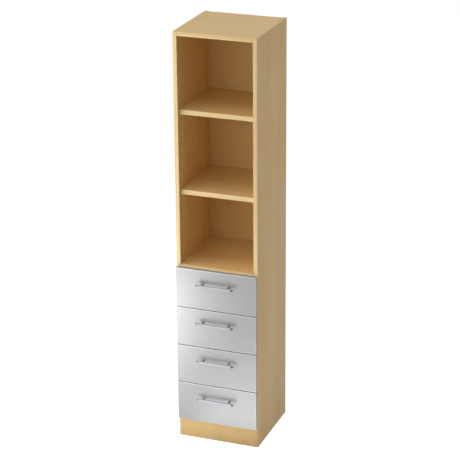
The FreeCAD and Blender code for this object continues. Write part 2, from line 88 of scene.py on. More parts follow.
class CabinetBoards(bpy.types.PropertyGroup):
    """Colours and layer sizes of the coated boards."""

    maple_light: colour_property("Maple light", "Pale ground of the maple print", screen(230, 201, 148))
    maple_dark: colour_property("Maple dark", "Golden streaks of the maple print", screen(221, 183, 119))
    maple_fleck: colour_property("Maple fleck", "Soft orange flecks along the grain", screen(247, 180, 98))
    # The band colours are lit copies of the print: their paleness is painted light on the front faces, their
    # streaks are print.
    band_pale_lit: colour_property("Band light", "Pale ground of the edge bands", screen(251, 226, 173))
    band_streak_lit: colour_property("Band dark", "Streaks along the edge bands", screen(239, 197, 134))
    silver_light: colour_property("Silver light", "Pale grain of the drawer fronts", screen(155, 155, 155))
    silver_dark: colour_property("Silver dark", "Dark grain of the drawer fronts", screen(135, 135, 135))
    # The edge bands' own duller tone, darkened further as painted shade on the fronts' top and side faces.
    silver_band_and_shade: colour_property("Silver band", "Darker edge bands of the drawer fronts",
                                 screen(152, 155, 160))
    # Painted highlight: bright lines along the fronts' edges and arrises, as they catch the light.
    silver_highlight: colour_property("Silver rub", "Bright lines along the edges of the drawer fronts",
                                screen(226, 227, 229))
    board_rub: colour_property("Board rub", "Rubbed edges of the maple boards", screen(214, 196, 168))
    board_dust: colour_property("Board dust", "Dust near the floor", screen(168, 148, 122))
    lining_light: colour_property("Lining light", "Pale tone of the back board's lining",
                                  screen(218, 204, 181))
    lining_dark: colour_property("Lining dark", "Dark tone of the back board's lining", screen(206, 190, 165))
    hardboard_top: colour_property("Drawer bottom", "Painted upper side of the drawer bottoms",
                                   screen(222, 219, 211))
    hardboard_speck: colour_property("Drawer bottom specks", "Paler specks of that paint",
                                     screen(229, 227, 220))
    hardboard_dust: colour_property("Drawer bottom dust", "Dust in the drawers", screen(196, 188, 172))
    hardboard_fibre: colour_property("Hardboard", "Bare fibre of the drawer bottoms", screen(133, 96, 63))
    hardboard_dark: colour_property("Hardboard dark", "Dark fibre of the drawer bottoms", screen(106, 74, 48))
    core_light: colour_property("Core light", "Pale chips of the particle board", screen(206, 171, 127))
    core_dark: colour_property("Core dark", "Dark chips of the particle board", screen(150, 113, 76))
    print_layer: length_property("Print layer", "Thickness of the coating on a board's faces", 0.0004)
    band_layer: length_property("Edge band", "Thickness of the band on a board's edge", 0.001)
    band_line: length_property("Band line", "Width of the line between band and face", 0.00015)
    # Painted shade: below this height the front faces are darkened, as under the drawer fronts' overhang, and
    # the bands keep the plain print.
    overhang_shade_top: length_property("Band foot", "Height above which the front bands are the paler kind", 0.0992)
    # Painted shade: bare board deeper than this inside holes is darkened.
    hole_shade_depth: length_property("Core rim", "Depth at which bare board counts as drilled", 0.0005)
    paint_layer: length_property("Paint layer", "Thickness of the paint on the drawer bottoms", 0.0002)
    relief: length_property("Relief", "Depth of the boards' fine texture", 0.00025)
    rub_width: length_property("Rub width", "Width of the rubbed edges of the maple boards", 0.0014)
    # Width of the painted highlight along the fronts' corners.
    front_highlight_width: length_property("Front rub width", "Width of the fronts' rubbed edges", 0.0012)
    dust_height: length_property("Dust height", "Height up to which dust lies on the boards", 0.05)
    floor_line: length_property("Floor line", "Height of the shaded line at the floor", 0.0015)
    joint: length_property("Joint", "Width of the shaded line where a board meets a side panel", 0.0016)
    # Painted highlight round the drawer front's face.
    arris_highlight: length_property("Arris", "Width of the bright line round a drawer front's face", 0.0022)
    bay_side: length_property("Bay side", "From the middle to just inside a side panel's face", 0.1815)
    bar_rise: length_property("Bar rise", "Height of a handle bar above its front's underside", 0.126)
    hole_columns: FloatVectorProperty(name="Pin hole columns", size=2, default=(-0.1505, 0.1935),
                                      description="Where the two columns of pin holes are in depth",
                                      unit="LENGTH")
    hole_first: length_property("First pin hole", "Height of the lowest pin holes", 0.901)
    hole_pitch: length_property("Pin hole pitch", "From one pin hole to the next", 0.0274)
    hole_radius: length_property("Pin hole radius", "Radius of the pin holes", 0.00255)
    # Painted shade: the rim round each pin hole is darkened to widen the hole's shaded dot.
    hole_shade_rim: length_property("Pin hole rim", "Width of the browned rim round a pin hole", 0.0013)


class CabinetMetals(bpy.types.PropertyGroup):
    """Colours of the handles, runners and fittings."""

    bar: colour_property("Bar", "Satin nickel of the handle bars", screen(168, 171, 176))
    bar_dark: colour_property("Bar scratches", "Fine scratches of the handle bars", screen(150, 153, 159))
    bar_worn: colour_property("Bar wear", "Touched places of the handle bars", screen(160, 158, 156))
    post: colour_property("Post", "Satin nickel of the handle posts", screen(186, 188, 193))
    post_dark: colour_property("Post rings", "Turned rings of the handle posts", screen(150, 152, 157))
    nickel: colour_property("Nickel", "Nickel of the shelf pins and bolts", screen(205, 203, 197))
    zinc: colour_property("Zinc", "Bright zinc of the screws", screen(200, 202, 204))
    plating_dark: colour_property("Plating", "Duller places of the plating", screen(172, 172, 160))
    cast: colour_property("Cast zinc", "Bare cast zinc of the cam fittings", screen(168, 170, 173))
    tarnish: colour_property("Tarnish", "Tarnished places of the cast zinc", screen(128, 130, 134))
    rail: colour_property("Rail", "Powder coat of the runners", screen(233, 233, 229))
    rail_dark: colour_property("Rail clouds", "Duller clouds of the powder coat", screen(222, 221, 215))
    rail_worn: colour_property("Rail wear", "Grey track left by the rollers", screen(168, 168, 164))
    track: length_property("Track", "From the cabinet's middle to the middle of a roller's track", 0.1739)
    track_half: length_property("Track half width", "Half the width of a roller's track", 0.0027)
    track_soft: length_property("Track softness", "Half the width of a track's soft edge", 0.0005)
    handle_reach: length_property("Handle reach", "From the middle to beyond a handle's screws", 0.1)
    roller: colour_property("Roller", "Nylon of the rollers", screen(236, 235, 228))
    roller_soil: colour_property("Roller soil", "Soiled tread of the rollers", screen(178, 176, 168))
    dowel: colour_property("Dowel", "Raw beech of the dowels", screen(222, 180, 132))
    dowel_dark: colour_property("Dowel rays", "Rays and fibres of the beech", screen(178, 128, 84))


class CabinetStudio(bpy.types.PropertyGroup):
    """Camera, lamps and floor."""

    azimuth: FloatProperty(name="Camera azimuth", description="Angle round the cabinet, 0 in front",
                           default=math.radians(20.879), subtype="ANGLE", unit="ROTATION")
    elevation: FloatProperty(name="Camera elevation", description="Angle above the horizon",
                             default=math.radians(21.002), subtype="ANGLE", unit="ROTATION")
    roll: FloatProperty(name="Camera roll", description="Turn about the line of sight",
                        default=math.radians(-0.481), subtype="ANGLE", unit="ROTATION")
    lens: FloatProperty(name="Lens", description="Focal length on a 36 mm sensor, in millimetres",
                        default=141.90, min=1.0)
    distance: length_property("Camera distance", "From the point it looks at", 8.291237)
    target: FloatVectorProperty(name="Camera target", description="Point that it looks at", size=3,
                                default=(0.06691, -0.1745, 1.093172), subtype="XYZ", unit="LENGTH")
    floor_size: length_property("Floor size", "Side of the square floor", 60.0)
    floor: colour_property("Floor", "Pale ground that the cabinet stands on", (0.66, 0.66, 0.66))
    ambient: FloatProperty(name="Ambient", description="Light from all round", default=0.2, min=0.0)
    floor_glow: FloatProperty(name="Floor glow", description="Lifts the floor to white for the camera",
                              default=0.87, min=0.0)
    left_power: FloatProperty(name="Left lamp", description="Large soft lamp high at the left",
                              default=24.0, min=0.0)
    side_power: FloatProperty(name="Side lamp", description="Large soft lamp at the front left",
                              default=15.0, min=0.0)
    front_power: FloatProperty(name="Front lamp", description="Soft lamp high in front",
                               default=8.0, min=0.0)
    right_power: FloatProperty(name="Right lamp", description="Large weak lamp at the right",
                               default=11.5, min=0.0)
    top_power: FloatProperty(name="Top lamp", description="Wide lamp high above", default=26.5, min=0.0)
    low_power: FloatProperty(name="Low lamp", description="Upright lamp low at the left, for the fronts",
                             default=4.3, min=0.0)
    foot_power: FloatProperty(name="Foot lamp", description="Flat lamp on the floor before the cabinet",
                              default=2.14, min=0.0)
    strip_power: FloatProperty(name="Strip lamp", description="Flat lamp on the floor, farther out",
                               default=0.7, min=0.0)
    far_power: FloatProperty(name="Far lamp", description="Flat lamp on the floor, far out at the left",
                             default=4.2, min=0.0)


class Value:
    """A number inside a node tree; arithmetic on it adds the Math nodes."""

    def __init__(self, nodes, socket):
        self.nodes = nodes
        self.socket = socket

    def __add__(self, other):
        return self.nodes.math("ADD", self, other)

    def __radd__(self, other):
        return self.nodes.math("ADD", other, self)

    def __sub__(self, other):
        return self.nodes.math("SUBTRACT", self, other)

    def __rsub__(self, other):
        return self.nodes.math("SUBTRACT", other, self)

    def __mul__(self, other):
        return self.nodes.math("MULTIPLY", self, other)

    def __rmul__(self, other):
        return self.nodes.math("MULTIPLY", other, self)

    def __truediv__(self, other):
        return self.nodes.math("DIVIDE", self, other)

    def __rtruediv__(self, other):
        return self.nodes.math("DIVIDE", other, self)

    def __lt__(self, other):
        return self.nodes.math("LESS_THAN", self, other)

    def __gt__(self, other):
        return self.nodes.math("GREATER_THAN", self, other)

    def __abs__(self):
        return self.nodes.math("ABSOLUTE", self)


class Nodes:
    """A node tree of a material or of the world, and the nodes that are added to it."""

    def __init__(self, tree):
        self.tree = tree
        self.tree.nodes.clear()

    def add(self, kind, settings=None, sockets=None):
        """Add a node, give it its settings, then the values or links of its sockets."""
        node = self.tree.nodes.new(kind)
        for key, value in (settings or {}).items():
            setattr(node, key, value)
        for key, value in (sockets or {}).items():
            source = value.socket if isinstance(value, Value) else value
            if isinstance(source, bpy.types.NodeSocket):
                self.tree.links.new(source, node.inputs[key])
            elif hasattr(source, "__len__") and node.inputs[key].type == "RGBA":
                node.inputs[key].default_value = (*source[:3], 1.0)
            else:
                node.inputs[key].default_value = source
        return node

    def split(self, vector):
        parts = self.add("ShaderNodeSeparateXYZ", sockets={"Vector": vector})
        return [Value(self, output) for output in parts.outputs]

    def math(self, operation, *values):
        sockets = dict(enumerate(values))
        node = self.add("ShaderNodeMath", {"operation": operation}, sockets)
        return Value(self, node.outputs[0])

    def least(self, values):
        found = values[0]
        for value in values[1:]:
            found = self.math("MINIMUM", found, value)
        return found

    def most(self, first, second):
        return self.math("MAXIMUM", first, second)

    def ramp(self, value, start, end):
        """0 before start, 1 after end, and a smooth rise between them."""
        sockets = {"Value": value, "From Min": start, "From Max": end, "To Min": 0.0, "To Max": 1.0}
        node = self.add("ShaderNodeMapRange", {"interpolation_type": "SMOOTHSTEP"}, sockets)
        return Value(self, node.outputs[0])

    def mix(self, factor, first, second, blend="MIX"):
        """Colour between two colours."""
        settings = {"data_type": "RGBA", "blend_type": blend, "clamp_factor": True}
        node = self.add("ShaderNodeMix", settings, {0: factor, 6: first, 7: second})
        return node.outputs[2]


class Finish(Nodes):
    """One material, with patterns that lie in the part's own frame."""

    def __init__(self, name, seed=0.0):
        self.material = bpy.data.materials.new(name)
        self.material.use_nodes = True
        super().__init__(self.material.node_tree)
        self.seed = seed
        coordinates = self.add("ShaderNodeTexCoord")
        self.place = coordinates.outputs["Object"]
        self.at = self.split(self.place)
        self.normal = self.split(coordinates.outputs["Normal"])

    def stretched(self, per_metre):
        """The place scaled on each axis, and moved so that like pieces differ."""
        offset = (self.seed * 3.7, self.seed * 5.3, self.seed * 7.1)
        sockets = {"Vector": self.place, "Location": offset, "Scale": per_metre}
        return self.add("ShaderNodeMapping", {"vector_type": "POINT"}, sockets).outputs[0]

    def noise(self, per_metre, detail=2.0, roughness=0.5, distortion=0.0):
        """Noise between 0 and 1, with so many waves per metre on each axis."""
        sockets = {"Vector": self.stretched(per_metre), "Scale": 1.0, "Detail": detail,
                   "Roughness": roughness, "Distortion": distortion}
        return Value(self, self.add("ShaderNodeTexNoise", None, sockets).outputs[0])

    def cells(self, per_metre):
        """Cell pattern: the distance to a cell's middle, and the cell's own random value."""
        sockets = {"Vector": self.stretched(per_metre), "Scale": 1.0}
        node = self.add("ShaderNodeTexVoronoi", {"feature": "F1"}, sockets)
        random = self.add("ShaderNodeSeparateColor", None, {"Color": node.outputs["Color"]})
        return Value(self, node.outputs["Distance"]), Value(self, random.outputs[0])

    def shaded(self, colour, factor, depth):
        """The colour, taken down towards a darker shade of itself by the factor."""
        return self.mix(factor, colour, (depth, depth, depth), "MULTIPLY")

    def bump(self, height, depth, strength=1.0):
        """Relief from a height between 0 and 1, so deep in metres."""
        sockets = {"Height": height, "Distance": depth, "Strength": strength}
        return self.add("ShaderNodeBump", None, sockets).outputs[0]

    def done(self, colour, roughness, normal, metallic=0.0, **constants):
        """Close the material with one shader."""
        sockets = {"Base Color": colour, "Roughness": roughness, "Metallic": metallic, "Normal": normal}
        sockets.update({key.replace("_", " "): value for key, value in constants.items()})
        shader = self.add("ShaderNodeBsdfPrincipled", None, sockets)
        self.add("ShaderNodeOutputMaterial", None, {"Surface": shader.outputs[0]})
        return self.material


def give(name, material):
    """The node's only material from now on."""
    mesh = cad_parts[name].data
    mesh.materials.clear()
    mesh.materials.append(material)


def grain(along, across_rate, along_rate):
    """Waves per metre on each axis, for a pattern that runs along one of them."""
    rates = [across_rate] * 3
    rates[along] = along_rate
    return rates


def board_layers(finish, name, across, bands, boards):
    """Where the face print, the edge bands and the joint line between them lie on a board."""
    low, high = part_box(name)
    depth = finish.least([finish.at[across] - low[across], high[across] - finish.at[across]])
    printed = depth < boards.print_layer
    if not bands:
        return printed, None, None
    insets = []
    for axis, side in bands:
        insets.append(finish.at[axis] - low[axis] if side == LOW else high[axis] - finish.at[axis])
    inset = finish.least(insets)
    banded = inset < boards.band_layer
    line = (abs(inset - boards.band_layer) < boards.band_line / 2) * printed
    return printed, banded, line


def chip_core(finish, name, boards):
    """Bare particle board, as it shows on hidden edges, and painted dark inside drilled holes as painted
    shade.
    """
    distance, random = finish.cells((420.0, 420.0, 900.0))
    tone = 0.65 * random + 0.35 * finish.noise((1500.0, 1500.0, 1500.0), 3.0)
    bare = finish.mix(tone, boards.core_dark, boards.core_light)
    low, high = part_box(name)
    depths = [finish.at[axis] - low[axis] for axis in (X, Y, Z)]
    depths += [high[axis] - finish.at[axis] for axis in (X, Y, Z)]
    # Painted shade: bare board inside holes is darkened.
    drilled = finish.least(depths) > boards.hole_shade_depth
    return finish.shaded(bare, drilled, 0.22), distance


def faces_front(finish):
    """1 on the faces that look to the front."""
    return finish.normal[Y] < -FACING


def maple_print(finish, boards, along, banded, strength=1.0):
    """Maple print: broad soft figure, fine fibre and soft flecks; streaked on the front bands, and painted
    paler there as painted light on the front faces.
    """
    figure = finish.noise(grain(along, 9.0, 0.6), 2.0, 0.5, 1.0)
    streaks = finish.noise(grain(along, 70.0, 1.6), 3.0, 0.55)
    fibre = finish.noise(grain(along, 900.0, 12.0), 2.0)
    drift = finish.noise((3.0, 3.0, 3.0), 1.0)
    waves = (figure - 0.5) * 1.3 + (streaks - 0.5) * 0.6 + (fibre - 0.5) * 0.3 + (drift - 0.5) * 0.8
    colour = finish.mix(0.5 + strength * waves, boards.maple_light, boards.maple_dark)
    groups = finish.ramp(finish.noise(grain(along, 9.0, 3.0), 1.0), 0.4, 0.6)
    dashes = finish.ramp(finish.noise(grain(along, 110.0, 24.0), 1.0), 0.56, 0.7)
    smudges = finish.ramp(finish.noise(grain(along, 46.0, 13.0), 2.0, 0.5, 0.8), 0.5, 0.68)
    flecks = groups * (dashes * 0.2 + smudges * 0.5) * strength * strength
    bay_wall = (abs(finish.normal[X]) > FACING) * (abs(finish.at[X]) < boards.bay_side)
    flecks = flecks * (1.0 - bay_wall * 0.6)
    colour = finish.mix(flecks, colour, boards.maple_fleck)
    if banded is not None:
        stripes = finish.noise(grain(along, 170.0, 1.4), 2.0, 0.6)
        tone = 0.42 + (stripes - 0.5) * 3.0 + (figure - 0.5) * 0.6
        band = finish.mix(tone, boards.band_pale_lit, boards.band_streak_lit)
        # Painted light: band faces that look to the front are painted paler, as lit.
        paler = banded * faces_front(finish) * (finish.at[Z] > boards.overhang_shade_top)
        colour = finish.mix(paler, colour, band)
    # Painted shade: front faces below the drawer fronts' overhang are darkened, as the overhang shades them.
    foot = faces_front(finish) * (finish.at[Z] < boards.overhang_shade_top)
    colour = finish.shaded(colour, foot * 0.75, 0.78)
    return colour, fibre, streaks


def hole_shade_rims(finish, boards):
    """1 on the rims round the two columns of shelf pin holes, which are painted darker as painted shade of
    the holes.
    """
    row = (finish.at[Z] - boards.hole_first) / boards.hole_pitch
    up = (finish.math("FRACT", row + 0.5) - 0.5) * boards.hole_pitch
    front, rear = boards.hole_columns
    across = finish.least([abs(finish.at[Y] - front), abs(finish.at[Y] - rear)])
    reach = finish.math("SQRT", up * up + across * across)
    inner_face = (abs(finish.at[X]) < boards.bay_side) * (row > -0.5)
    return inner_face * (1.0 - finish.ramp(reach, boards.hole_radius, boards.hole_radius + boards.hole_shade_rim))


def corner_distance(finish, name):
    """How far a place on the surface is from the board's nearest corner line."""
    low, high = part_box(name)
    insets = [finish.least([finish.at[axis] - low[axis], high[axis] - finish.at[axis]]) for axis in (X, Y, Z)]
    first, second, third = insets
    pair = finish.most(first, second)
    return finish.least([pair, finish.most(first, third), finish.most(second, third)])


def worn_edges(finish, name, colour, boards):
    """Slight rubbing where two of a board's sides meet."""
    near = 1.0 - finish.ramp(corner_distance(finish, name), 0.0, boards.rub_width)
    patchy = finish.ramp(finish.noise((38.0, 38.0, 38.0), 3.0), 0.52, 0.7)
    return finish.mix(near * patchy * 0.35, colour, boards.board_rub)


def finish_maple_board(name, across, along, bands, boards, seed,
                       strength=1.0, roughness=MAPLE_ROUGHNESS, joined=False):
    """Coated board: print on its faces, bands on the named edges, bare chips elsewhere."""
    finish = Finish(name + "_finish", seed)
    printed, banded, line = board_layers(finish, name, across, bands, boards)
    core, chips = chip_core(finish, name, boards)
    colour, fibre, streaks = maple_print(finish, boards, along, banded, strength)
    coated = printed if banded is None else finish.most(printed, banded)
    colour = worn_edges(finish, name, colour, boards)
    low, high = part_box(name)
    if name.endswith("side_panel"):
        # Painted shade round the pin holes.
        colour = finish.shaded(colour, hole_shade_rims(finish, boards) * 0.75, 0.2)
    if joined:
        ends = finish.least([finish.at[X] - low.x, high.x - finish.at[X]])
        joint = (1.0 - finish.ramp(ends, 0.0, boards.joint)) * (0.15 + faces_front(finish) * 0.65)
        colour = finish.shaded(colour, joint, 0.3)
    if low.z < 0.001:
        patches = finish.ramp(finish.noise((26.0, 26.0, 50.0), 4.0), 0.4, 0.75)
        dust = (1.0 - finish.ramp(finish.at[Z], 0.0, boards.dust_height)) * patches
        colour = finish.mix(dust * 0.15, colour, boards.board_dust)
        floor_line = 1.0 - finish.ramp(finish.at[Z], boards.floor_line, 2 * boards.floor_line)
        colour = finish.shaded(colour, floor_line * 0.6, 0.4)
    if line is not None:
        colour = finish.shaded(colour, line * 0.5, 0.5)
    colour = finish.mix(coated, core, colour)
    handled = finish.noise((7.0, 7.0, 7.0), 3.0)
    gloss = roughness + (handled - 0.5) * 0.12 + (streaks - 0.5) * 0.06
    gloss = gloss + (1.0 - coated) * 0.45
    height = coated * (fibre * 0.6 + streaks * 0.4) * 0.25 + (1.0 - coated) * chips
    normal = finish.bump(height, boards.relief, 0.6)
    give(name, finish.done(colour, gloss, normal, Specular_IOR_Level=MAPLE_SPECULAR))


def finish_back_board(name, boards, seed):
    """Thin back board: maple print inside, plain pale lining on the wall side."""
    finish = Finish(name + "_finish", seed)
    printed, _banded, _line = board_layers(finish, name, Y, (), boards)
    core, chips = chip_core(finish, name, boards)
    colour, fibre, streaks = maple_print(finish, boards, Z, None, BACK_PRINT)
    rear = finish.normal[Y] > FACING
    lining = finish.mix(finish.noise((300.0, 300.0, 300.0), 3.0), boards.lining_dark, boards.lining_light)
    colour = finish.mix(rear, colour, lining)
    colour = finish.mix(printed, core, colour)
    handled = finish.noise((7.0, 7.0, 7.0), 3.0)
    gloss = MAPLE_ROUGHNESS + (handled - 0.5) * 0.1 + (1.0 - printed) * 0.4
    height = printed * (fibre * 0.6 + streaks * 0.4) * 0.25 + (1.0 - printed) * chips
    normal = finish.bump(height, boards.relief, 0.6)
    give(name, finish.done(colour, gloss, normal, Specular_IOR_Level=MAPLE_SPECULAR))


def finish_silver_front(name, boards, seed):
    """Drawer front: satin silver-grey coating with a faint metallic grain, handled round the bar."""
    finish = Finish(name + "_finish", seed)
    bands = ((X, LOW), (X, HIGH), (Z, LOW), (Z, HIGH))
    printed, banded, line = board_layers(finish, name, Y, bands, boards)
    core, chips = chip_core(finish, name, boards)
    coated = finish.most(printed, banded)
    sparkle = finish.noise((2600.0, 2600.0, 2600.0), 2.0)
    cloud = finish.noise((9.0, 9.0, 9.0), 3.0)
    tone = 0.5 + (sparkle - 0.5) * 0.9 + (cloud - 0.5) * 0.35
    paint = finish.mix(tone, boards.silver_dark, boards.silver_light)
    edge = 1.0 - finish.ramp(abs(finish.normal[Y]), 0.3, 0.6)
    # Edge faces take the band colour: partly the band's own tone, partly painted shade.
    paint = finish.mix(edge, paint, boards.silver_band_and_shade)
    paint = finish.shaded(paint, line * 0.6, 0.45)
    # Painted highlight along the fronts' corners, patchy like rubbing.
    rubbed = 1.0 - finish.ramp(corner_distance(finish, name), 0.0, boards.front_highlight_width)
    rubbed = rubbed * (0.4 + finish.ramp(finish.noise((45.0, 45.0, 45.0), 3.0), 0.5, 0.7))
    paint = finish.mix(rubbed * 0.4, paint, boards.silver_highlight)
    low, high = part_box(name)
    top_margin = high.z - finish.at[Z]
    margins = [top_margin, finish.at[Z] - low.z, finish.at[X] - low.x, high.x - finish.at[X]]
    # Painted highlight: a bright line round the face, brightest at the top arris, where the light falls.
    arris_highlight = 0.25 - 0.25 * finish.ramp(finish.least(margins), boards.arris_highlight * 0.7, boards.arris_highlight * 1.3)
    top_arris_highlight = 0.6 - 0.6 * finish.ramp(top_margin, boards.arris_highlight * 0.7, boards.arris_highlight * 1.3)
    paint = finish.mix(finish.most(arris_highlight, top_arris_highlight) * (1.0 - edge), paint, boards.silver_highlight)
    colour = finish.mix(coated, core, paint)
    bar_height = low.z + boards.bar_rise
    span = 1.0 - finish.ramp(abs(finish.at[X]), 0.03, 0.11)
    touched = span * (1.0 - finish.ramp(abs(finish.at[Z] - bar_height), 0.01, 0.05))
    smudge = touched * 0.08 * finish.noise((60.0, 60.0, 60.0), 4.0)
    gloss = 0.41 + (cloud - 0.5) * 0.04 + smudge + (1.0 - coated) * 0.5
    height = coated * sparkle * 0.08 + (1.0 - coated) * chips
    normal = finish.bump(height, boards.relief, 0.5)
    metallic = coated * (0.6 - edge * 0.3)
    give(name, finish.done(colour, gloss, normal, metallic, Specular_IOR_Level=0.5))


def finish_drawer_bottom(name, boards, seed):
    """Hardboard: painted above, bare below with the mark of the press screen."""
    finish = Finish(name + "_finish", seed)
    top = (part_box(name)[HIGH].z - finish.at[Z]) < boards.paint_layer
    speckle = finish.noise((800.0, 800.0, 800.0), 3.0)
    cloud = finish.noise((12.0, 12.0, 12.0), 3.0)
    dust = finish.ramp(cloud, 0.5, 0.8) * 0.25
    paint = finish.mix(speckle, boards.hardboard_top, boards.hardboard_speck)
    paint = finish.mix(dust, paint, boards.hardboard_dust)
    fibre = finish.noise((260.0, 260.0, 700.0), 4.0, 0.65)
    bare = finish.mix(fibre, boards.hardboard_fibre, boards.hardboard_dark)
    weave_rate = 3900.0
    weave_x = finish.math("SINE", finish.at[X] * weave_rate)
    weave_y = finish.math("SINE", finish.at[Y] * weave_rate)
    screen_mark = weave_x * weave_y * 0.5 + 0.5
    below = 1.0 - top
    colour = finish.mix(top, finish.shaded(bare, screen_mark * 0.35, 0.6), paint)
    gloss = 0.48 + below * 0.3 + (speckle - 0.5) * 0.1
    height = top * speckle * 0.2 + below * (screen_mark * 0.6 + fibre * 0.4)
    give(name, finish.done(colour, gloss, finish.bump(height, 0.0003, 0.5), Specular_IOR_Level=0.35))


def finish_bar(name, metals, seed):
    """Handle bar: satin nickel brushed along its length, finely ground on the slanted ends."""
    finish = Finish(name + "_finish", seed)
    brushed = finish.noise((60.0, 5200.0, 5200.0), 3.0, 0.6)
    ground = finish.noise((5200.0, 5200.0, 220.0), 3.0, 0.6)
    end = finish.ramp(abs(finish.normal[X]), 0.2, 0.4)
    scratches = brushed * (1.0 - end) + ground * end
    touched = finish.noise((35.0, 90.0, 90.0), 3.0)
    colour = finish.mix(scratches, metals.bar, metals.bar_dark)
    # Painted shade: the slanted ground ends are darkened.
    colour = finish.shaded(colour, end * 0.8, 0.4)
    colour = finish.mix(finish.ramp(touched, 0.58, 0.8) * 0.2, colour, metals.bar_worn)
    gloss = 0.54 + (scratches - 0.5) * 0.16 + finish.ramp(touched, 0.5, 0.8) * 0.08
    normal = finish.bump(scratches, 0.00006, 0.35)
    give(name, finish.done(colour, gloss, normal, metallic=0.65))


def finish_posts(name, metals, seed):
    """Handle posts: satin nickel turned on a lathe, with rings along their length."""
    finish = Finish(name + "_finish", seed)
    rings = finish.noise((40.0, 4200.0, 40.0), 2.0, 0.6)
    stain = finish.noise((160.0, 160.0, 160.0), 3.0)
    colour = finish.mix(rings * 0.6 + stain * 0.4, metals.post, metals.post_dark)
    gloss = 0.34 + (rings - 0.5) * 0.14 + (stain - 0.5) * 0.08
    give(name, finish.done(colour, gloss, finish.bump(rings, 0.00005, 0.4), metallic=1.0))


def finish_fixings(name, shade, metals, seed, axes, pitch=0.0011, roughness=0.3):
    """Plated screws, bolts and pins, ridged along the first axis, or beyond the handles along the second."""
    finish = Finish(name + "_finish", seed)
    ridges = [finish.math("SINE", finish.at[axis] * (2 * math.pi / pitch)) * 0.5 + 0.5 for axis in axes]
    ridge, along = ridges[0], finish.normal[axes[0]]
    if len(ridges) > 1:
        inner = abs(finish.at[X]) < metals.handle_reach
        ridge = ridges[0] * inner + ridges[1] * (1.0 - inner)
        along = along * inner
    flank = 1.0 - finish.ramp(abs(along), 0.4, 0.8)
    plating = finish.noise((260.0, 260.0, 260.0), 3.0)
    fine = finish.noise((2400.0, 2400.0, 2400.0), 2.0)
    colour = finish.mix(plating, shade, metals.plating_dark)
    colour = finish.shaded(colour, flank * ridge * 0.45, 0.4)
    gloss = roughness + (plating - 0.5) * 0.16 + (fine - 0.5) * 0.1
    height = flank * ridge * 0.8 + fine * 0.2
    give(name, finish.done(colour, gloss, finish.bump(height, 0.00025, 0.5), metallic=1.0))


def finish_cast(name, metals, seed):
    """Cam fittings: bare cast zinc with a fine pitted skin."""
    finish = Finish(name + "_finish", seed)
    pits, _random = finish.cells((900.0, 900.0, 900.0))
    tarnish = finish.noise((120.0, 120.0, 120.0), 4.0)
    colour = finish.mix(tarnish, metals.cast, metals.tarnish)
    gloss = 0.5 + (tarnish - 0.5) * 0.2
    give(name, finish.done(colour, gloss, finish.bump(pits, 0.00012, 0.4), metallic=0.9))


def finish_rails(name, metals, seed, floor_track):
    """Runner rails: white powder coat, rubbed grey where the rollers run."""
    finish = Finish(name + "_finish", seed)
    peel = finish.noise((1100.0, 1100.0, 1100.0), 2.0)
    cloud = finish.noise((14.0, 14.0, 14.0), 3.0)
    colour = finish.mix(cloud * 0.3, metals.rail, metals.rail_dark)
    facing = finish.normal[Z] > 0.7 if floor_track else finish.normal[Z] < -0.7
    off_track = abs(abs(finish.at[X]) - metals.track)
    start, end = metals.track_half - metals.track_soft, metals.track_half + metals.track_soft
    lane = 1.0 - finish.ramp(off_track, start, end)
    streaks = finish.noise((1400.0, 9.0, 1400.0), 3.0)
    worn = facing * lane * finish.ramp(streaks, 0.3, 0.65)
    colour = finish.mix(worn * 0.75, colour, metals.rail_worn)
    gloss = 0.36 + (peel - 0.5) * 0.08 - worn * 0.1
    normal = finish.bump(peel * (1.0 - worn * 0.8), 0.00008, 0.4)
    give(name, finish.done(colour, gloss, normal, metallic=worn * 0.5, Coat_Weight=0.15))


def finish_rollers(name, metals, seed):
    """Nylon rollers: smooth moulded faces and a dull, faintly soiled tread."""
    finish = Finish(name + "_finish", seed)
    side = finish.ramp(abs(finish.normal[X]), 0.5, 0.8)
    mould = finish.noise((1600.0, 1600.0, 1600.0), 2.0)
    soil = finish.noise((500.0, 240.0, 240.0), 3.0)
    tread = 1.0 - side
    colour = finish.mix(tread * finish.ramp(soil, 0.35, 0.7) * 0.35, metals.roller, metals.roller_soil)
    gloss = 0.38 + tread * 0.14 + (mould - 0.5) * 0.08
    give(name, finish.done(colour, gloss, finish.bump(mould, 0.00006, 0.4), Subsurface_Weight=0.08,
                           Subsurface_Radius=(0.002, 0.002, 0.002)))


def finish_dowels(name, metals, seed):
    """Beech dowels: fluted along their length, with short rays."""
    finish = Finish(name + "_finish", seed)
    flutes = finish.noise((12.0, 1500.0, 1500.0), 1.0)
    rays = finish.ramp(finish.noise((160.0, 900.0, 900.0), 2.0), 0.56, 0.66)
    colour = finish.mix(flutes * 0.5 + rays * 0.4, metals.dowel, metals.dowel_dark)
    gloss = 0.62 + (rays - 0.5) * 0.1
    give(name, finish.done(colour, gloss, finish.bump(flutes, 0.0004, 0.6)))


class CABINET_OT_side_panels(bpy.types.Operator):
    """Maple finish of the side panels and the plinth"""

    bl_idname = "cabinet.side_panels"
    bl_label = "Side panels and plinth"

    def execute(self, context):
        boards = context.scene.cabinet_boards
        bands = ((Y, LOW), (Z, HIGH))
        finish_maple_board("left_side_panel", X, Z, bands, boards, 1.0)
        finish_maple_board("right_side_panel", X, Z, bands, boards, 2.0)
        finish_maple_board("plinth_board", Y, Z, (), boards, 3.0, joined=True)
        return {"FINISHED"}


